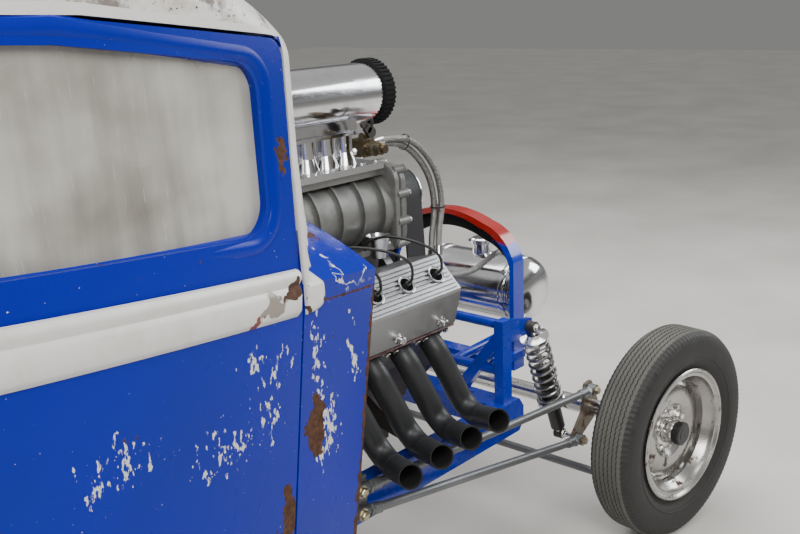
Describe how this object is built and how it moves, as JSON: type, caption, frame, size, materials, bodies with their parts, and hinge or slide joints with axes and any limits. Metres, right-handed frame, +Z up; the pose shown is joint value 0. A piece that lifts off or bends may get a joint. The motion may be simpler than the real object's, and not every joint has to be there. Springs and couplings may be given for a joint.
{
  "type": "street rod drag coupe",
  "caption": "Old-style steel coupe street rod with open supercharged V8, tube front axle, narrow front tyres, wide rear tyres, opening doors and deck lid.",
  "frame": {"origin": "on the floor at the middle of the car's length and width", "axes": "+X forward, +Y to the car's left, +Z up"},
  "size_m": [3.9588, 1.6, 1.77],
  "materials": {
    "body_blue": "chipped gloss",
    "roof_white": "worn satin",
    "frame_blue": "gloss",
    "shell_paint": "gloss",
    "tyre": "matt",
    "chromed_steel": "polished",
    "grey_steel": "satin",
    "dark_steel": "satin",
    "polished_aluminium": "polished",
    "cast_aluminium": "cast",
    "belt_rubber": "matt",
    "engine_iron": "painted",
    "black_pipe": "matt",
    "hazy_plastic": "hazy",
    "grey_sheet": "satin",
    "seat_vinyl": "satin",
    "black_paint": "satin",
    "black_plastic": "satin"
  },
  "bodies": {
    "chassis": {"blower_belt": "belt_rubber", "blower_case": "cast_aluminium", "body_shell": "body_blue", "coilovers_front": "chromed_steel", "coilovers_rear": "chromed_steel", "cylinder_heads": "engine_iron", "drive_pulleys": "polished_aluminium", "driveline": "cast_aluminium", "engine_block": "engine_iron", "firewall": "grey_sheet", "floor_pan": "grey_sheet", "frame": "frame_blue", "front_axle": "chromed_steel", "front_tank": "polished_aluminium", "front_towers": "frame_blue", "grille_shell": "shell_paint", "headers_left": "black_pipe", "headers_right": "black_pipe", "injector": "polished_aluminium", "intake_manifold": "cast_aluminium", "ladder_bars": "frame_blue", "quarter_glass": "hazy_plastic", "radius_rods": "grey_steel", "rear_axle": "dark_steel", "rear_window": "hazy_plastic", "roll_hoop": "black_paint", "roof": "roof_white", "scoop": "polished_aluminium", "scoop_band": "belt_rubber", "seats": "seat_vinyl", "steering_column": "black_paint", "valve_covers": "polished_aluminium", "windscreen": "hazy_plastic"},
    "knuckle_left_body": {"knuckle_left": "dark_steel"},
    "knuckle_right_body": {"knuckle_right": "dark_steel"},
    "tie_rod_body": {"tie_rod": "grey_steel"},
    "front_wheel_left": {"wheel_front_left": "chromed_steel", "tyre_front_left": "tyre"},
    "front_wheel_right": {"wheel_front_right": "chromed_steel", "tyre_front_right": "tyre"},
    "rear_wheel_left": {"wheel_rear_left": "chromed_steel", "tyre_rear_left": "tyre"},
    "rear_wheel_right": {"wheel_rear_right": "chromed_steel", "tyre_rear_right": "tyre"},
    "door_left_body": {"door_left": "body_blue", "door_glass_left": "hazy_plastic"},
    "door_right_body": {"door_right": "body_blue", "door_glass_right": "hazy_plastic"},
    "deck_lid_body": {"deck_lid": "body_blue"},
    "steering_wheel_body": {"steering_wheel": "black_plastic"}
  },
  "joints": [
    {"name": "steer_left", "type": "hinge", "parent": "chassis", "child": "knuckle_left_body", "pos_m": [1.64056, 0.57, 0.325], "axis": [0, 0, 1], "range_deg": [-22, 34]},
    {"name": "steer_right", "type": "hinge", "parent": "chassis", "child": "knuckle_right_body", "pos_m": [1.64056, -0.57, 0.325], "axis": [0, 0, 1], "range_deg": [-22, 34]},
    {"name": "tie_rod_pivot", "type": "hinge", "parent": "knuckle_left_body", "child": "tie_rod_body", "pos_m": [1.51127, 0.58359, 0.19], "axis": [0, 0, 1], "range_deg": [-34, 34]},
    {"name": "steering_wheel_turn", "type": "hinge", "parent": "chassis", "child": "steering_wheel_body", "pos_m": [-0.00944, 0.35, 1.06], "axis": [0.9102, 0, -0.4141], "range_deg": [-360, 360]},
    {"name": "door_left_hinge", "type": "hinge", "parent": "chassis", "child": "door_left_body", "pos_m": [0.25656, 0.58, 1], "axis": [0, 0, -1], "range_deg": [0, 65]},
    {"name": "door_right_hinge", "type": "hinge", "parent": "chassis", "child": "door_right_body", "pos_m": [0.25656, -0.58, 1], "axis": [0, 0, 1], "range_deg": [0, 65]},
    {"name": "deck_lid_hinge", "type": "hinge", "parent": "chassis", "child": "deck_lid_body", "pos_m": [-1.35244, 0, 1.324], "axis": [0, 1, 0], "range_deg": [0, 50]},
    {"name": "front_wheel_left_spin", "type": "hinge", "parent": "knuckle_left_body", "child": "front_wheel_left", "pos_m": [1.65154, 0.67443, 0.325], "axis": [0.1045, 0.9945, 0], "continuous": true},
    {"name": "rear_wheel_left_spin", "type": "hinge", "parent": "chassis", "child": "rear_wheel_left", "pos_m": [-1.25944, 0.665, 0.395], "axis": [0, 1, 0], "continuous": true},
    {"name": "front_wheel_right_spin", "type": "hinge", "parent": "knuckle_right_body", "child": "front_wheel_right", "pos_m": [1.62959, -0.67443, 0.325], "axis": [0.1045, 0.9945, 0], "continuous": true},
    {"name": "rear_wheel_right_spin", "type": "hinge", "parent": "chassis", "child": "rear_wheel_right", "pos_m": [-1.25944, -0.665, 0.395], "axis": [0, 1, 0], "continuous": true}
  ],
  "couplings": [
    {"joint": "steer_right", "follows": "steer_left", "ratio": 1},
    {"joint": "tie_rod_pivot", "follows": "steer_left", "ratio": -1},
    {"joint": "steering_wheel_turn", "follows": "steer_left", "ratio": -10}
  ]
}
